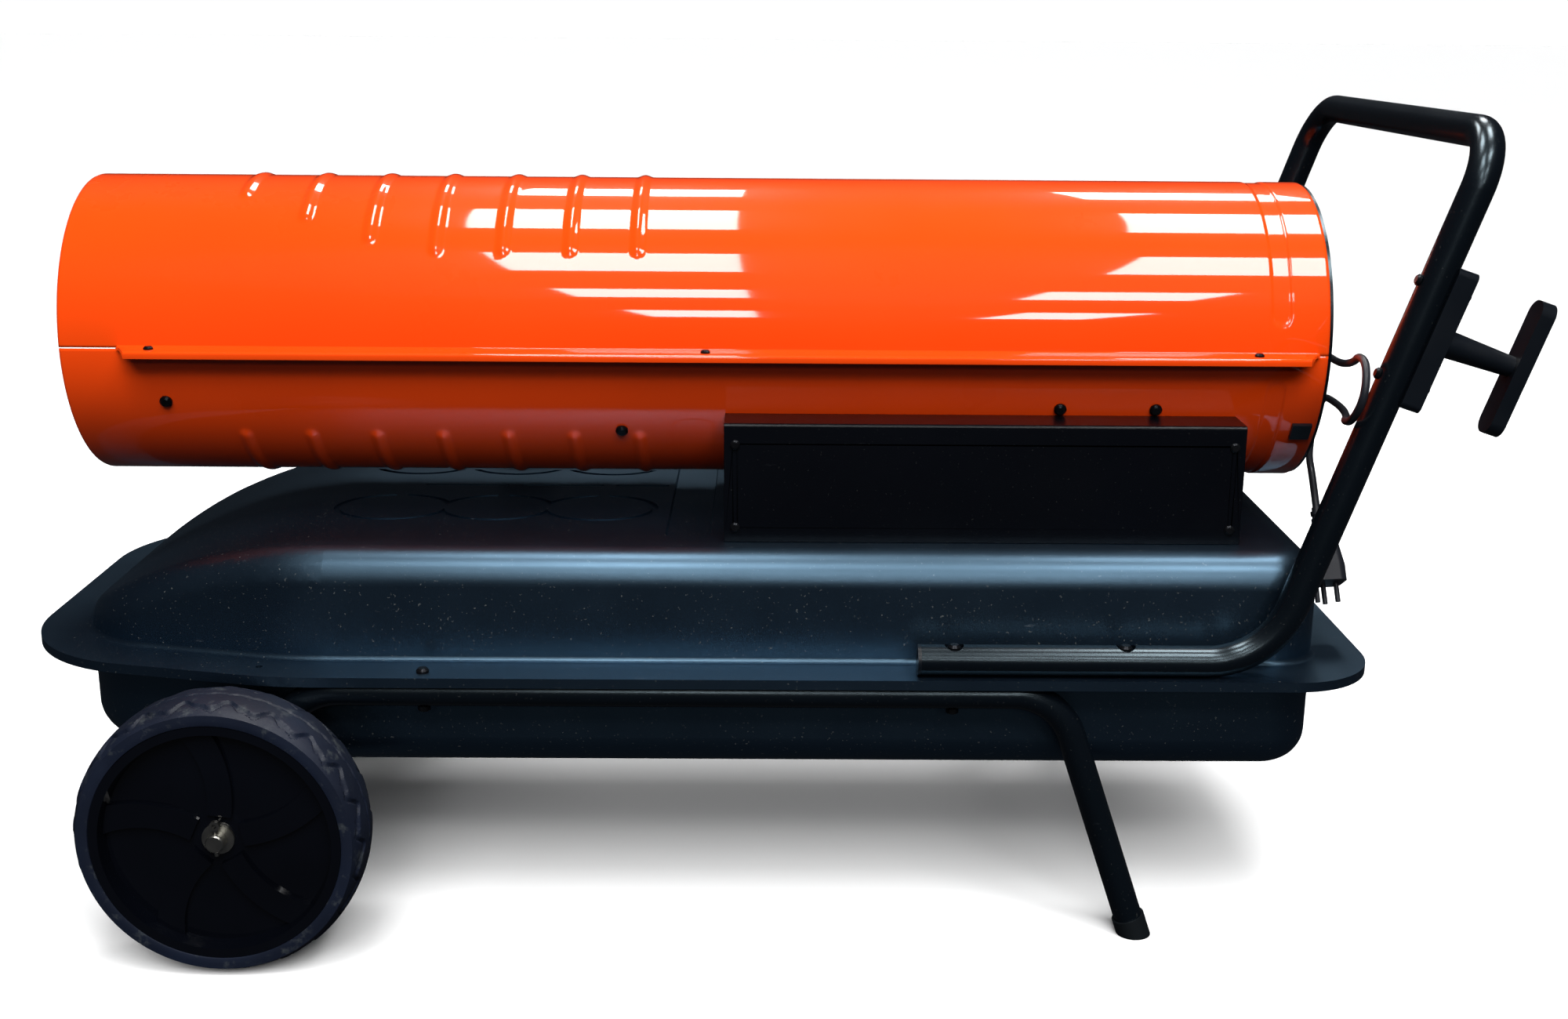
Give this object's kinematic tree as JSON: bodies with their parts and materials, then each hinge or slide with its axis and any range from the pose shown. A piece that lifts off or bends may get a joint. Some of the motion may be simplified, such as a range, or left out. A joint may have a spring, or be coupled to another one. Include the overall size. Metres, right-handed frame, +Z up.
{
  "type": "forced air heater",
  "caption": "Wheeled forced air heater: ribbed orange barrel split at a flanged seam, over a stamped black fuel tank with a bent tube handle, feet and a cord bracket",
  "frame": {"origin": "on the ground under the middle of the heater's outline", "axes": "+X from the hot air outlet to the handle, +Y to the side with the controls, +Z up"},
  "size_m": [1.3534, 0.671, 0.74],
  "materials": {
    "barrel_paint": "glossy orange-red enamel",
    "tank_paint": "satin black paint with scuffs",
    "frame_paint": "semi-gloss black paint",
    "box_paint": "satin black paint",
    "tyre": "matte tyre compound",
    "wheel_plastic": "glossy black plastic",
    "black_plastic": "satin black plastic",
    "zinc": "zinc-plated steel",
    "dark_fixing": "blackened steel",
    "heat_steel": "heat-resisting steel sheet",
    "cast_metal": "cast aluminium",
    "brass": "turned brass",
    "ceramic": "glazed ceramic",
    "rubber": "black rubber",
    "board": "green circuit board",
    "dial": "gauge face",
    "cord": "black cord sheath"
  },
  "bodies": {
    "heater": {"tank_upper": "tank_paint", "tank_lower": "tank_paint", "filler_neck": "tank_paint", "fuel_strainer": "black_plastic", "fuel_gauge": "black_plastic", "drain_plug": "zinc", "fuel_pickup": "brass", "frame_tube_near": "frame_paint", "frame_tube_far": "frame_paint", "foot_caps": "rubber", "axle": "zinc", "axle_washers": "zinc", "split_pins": "zinc", "handle_tube": "frame_paint", "handle_end_caps": "black_plastic", "frame_bolts": "dark_fixing", "cord_wrap_bracket": "black_plastic", "cord_wrap_bolts": "dark_fixing", "lower_shell": "barrel_paint", "upper_shell": "barrel_paint", "flange_screws": "dark_fixing", "side_bolts": "dark_fixing", "combustion_chamber": "heat_steel", "chamber_brackets": "heat_steel", "flame_baffle": "heat_steel", "burner_head": "heat_steel", "nozzle": "brass", "electrodes": "ceramic", "photocell": "black_plastic", "motor": "cast_metal", "motor_bracket": "zinc", "pump_housing": "cast_metal", "pump_end_cover": "cast_metal", "pressure_gauge": "dial", "rear_guard": "frame_paint", "air_hose": "rubber", "fuel_hose": "rubber", "control_box": "box_paint", "side_cover": "box_paint", "cover_screws": "dark_fixing", "control_panel": "box_paint", "ignition_transformer": "black_plastic", "control_board": "board", "thermostat_body": "black_plastic", "switch_housing": "black_plastic", "snap_plug": "black_plastic", "cable_gland": "black_plastic", "mains_cord": "cord", "mains_plug": "cord"},
    "fan_rotor": {"fan": "cast_metal", "rotor_shaft": "zinc", "pump_rotor": "cast_metal"},
    "wheel_near_turning": {"tyre_near": "tyre", "wheel_near": "wheel_plastic"},
    "wheel_far_turning": {"tyre_far": "tyre", "wheel_far": "wheel_plastic"},
    "filler_cap": {"fuel_cap": "black_plastic"},
    "knob": {"thermostat_knob": "black_plastic"},
    "rocker": {"power_rocker": "black_plastic"}
  },
  "joints": [
    {"name": "fan_spin", "type": "hinge", "parent": "heater", "child": "fan_rotor", "pos_m": [0.24232, 0, 0.523], "axis": [1, 0, 0], "continuous": true},
    {"name": "wheel_near_spin", "type": "hinge", "parent": "heater", "child": "wheel_near_turning", "pos_m": [-0.45768, -0.302, 0.126], "axis": [0, 1, 0], "continuous": true},
    {"name": "wheel_far_spin", "type": "hinge", "parent": "heater", "child": "wheel_far_turning", "pos_m": [-0.45768, 0.302, 0.126], "axis": [0, 1, 0], "continuous": true},
    {"name": "filler_cap_turn", "type": "hinge", "parent": "heater", "child": "filler_cap", "pos_m": [-0.24768, 0.146, 0.362], "axis": [0, 0, 1], "range_deg": [0, 90]},
    {"name": "thermostat_turn", "type": "hinge", "parent": "heater", "child": "knob", "pos_m": [0.18232, 0.18, 0.408], "axis": [0, 1, 0], "range_deg": [0, 270]},
    {"name": "power_rock", "type": "hinge", "parent": "heater", "child": "rocker", "pos_m": [0.28232, 0.1705, 0.408], "axis": [1, 0, 0], "range_deg": [0, 20]}
  ]
}
